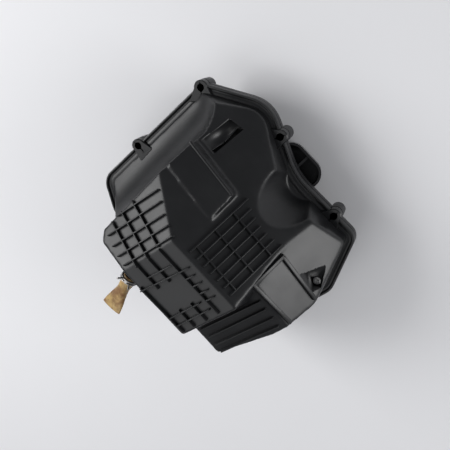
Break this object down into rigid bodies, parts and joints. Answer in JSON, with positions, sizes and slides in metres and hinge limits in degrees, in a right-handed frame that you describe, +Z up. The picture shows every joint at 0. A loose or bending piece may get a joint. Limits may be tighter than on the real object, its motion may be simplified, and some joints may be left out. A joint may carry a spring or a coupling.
{
  "type": "air filter housing",
  "caption": "Two-part ribbed filter housing with an oval inlet duct, a lift-out pleated element, a rubber outlet boot and a clipped drain tube.",
  "frame": {"origin": "centre of the bounding box in X and Y, on the ground plane under the rubber feet", "axes": "+Z up from the cover to the ribbed case roof, +Y towards the inlet duct, +X towards the wide flat end of the case"},
  "size_m": [0.22, 0.2128, 0.1591],
  "materials": {
    "black_plastic": "satin moulded black plastic",
    "dark_plastic": "matt moulded plastic",
    "frame_plastic": "pale moulded plastic",
    "rubber": "matt black rubber",
    "foam": "soft dark seal",
    "paper": "pleated filter paper",
    "steel": "zinc plated steel",
    "amber_tube": "aged translucent tube"
  },
  "bodies": {
    "base": {"cover": "black_plastic", "cover_wall": "black_plastic", "cover_floor": "black_plastic", "mount_lugs": "black_plastic", "seam_gasket": "foam", "cover_screws": "steel", "rubber_feet": "rubber", "inlet_duct": "black_plastic", "inlet_baffle": "dark_plastic", "partition": "dark_plastic", "outlet_funnel": "dark_plastic", "flame_screen": "steel", "outlet_boot": "rubber", "boot_band": "steel", "mount_grommets": "rubber", "mount_collars": "steel", "floor_plug": "rubber"},
    "upper": {"case": "black_plastic", "roof_baffle": "dark_plastic", "pocket_screw": "steel"},
    "element": {"element_frame": "frame_plastic", "element_pleats": "paper", "element_seal": "foam", "element_screen": "steel", "element_pull": "foam"},
    "tube": {"drain_tube": "amber_tube"},
    "clip": {"drain_clip": "steel"},
    "clamp_screw": {"band_screw": "steel"}
  },
  "joints": [
    {"name": "case_lift", "type": "slide", "parent": "base", "child": "upper", "axis": [0, 0, 1], "range_m": [0, 0.1]},
    {"name": "element_lift", "type": "slide", "parent": "base", "child": "element", "axis": [0, 0, 1], "range_m": [0, 0.05]},
    {"name": "tube_pull", "type": "slide", "parent": "upper", "child": "tube", "axis": [0.1903, -0.9817, 0], "range_m": [0, 0.02]},
    {"name": "clip_turn", "type": "hinge", "parent": "tube", "child": "clip", "pos_m": [-0.01838, -0.05675, 0.137], "axis": [0.1903, -0.9817, 0], "range_deg": [-60, 60]},
    {"name": "clamp_screw_turn", "type": "hinge", "parent": "base", "child": "clamp_screw", "pos_m": [0.0383, -0.0974, 0.028], "axis": [0, 0, 1], "continuous": true}
  ],
  "couplings": [
    {"joint": "element_lift", "follows": "case_lift", "ratio": 0.5}
  ]
}
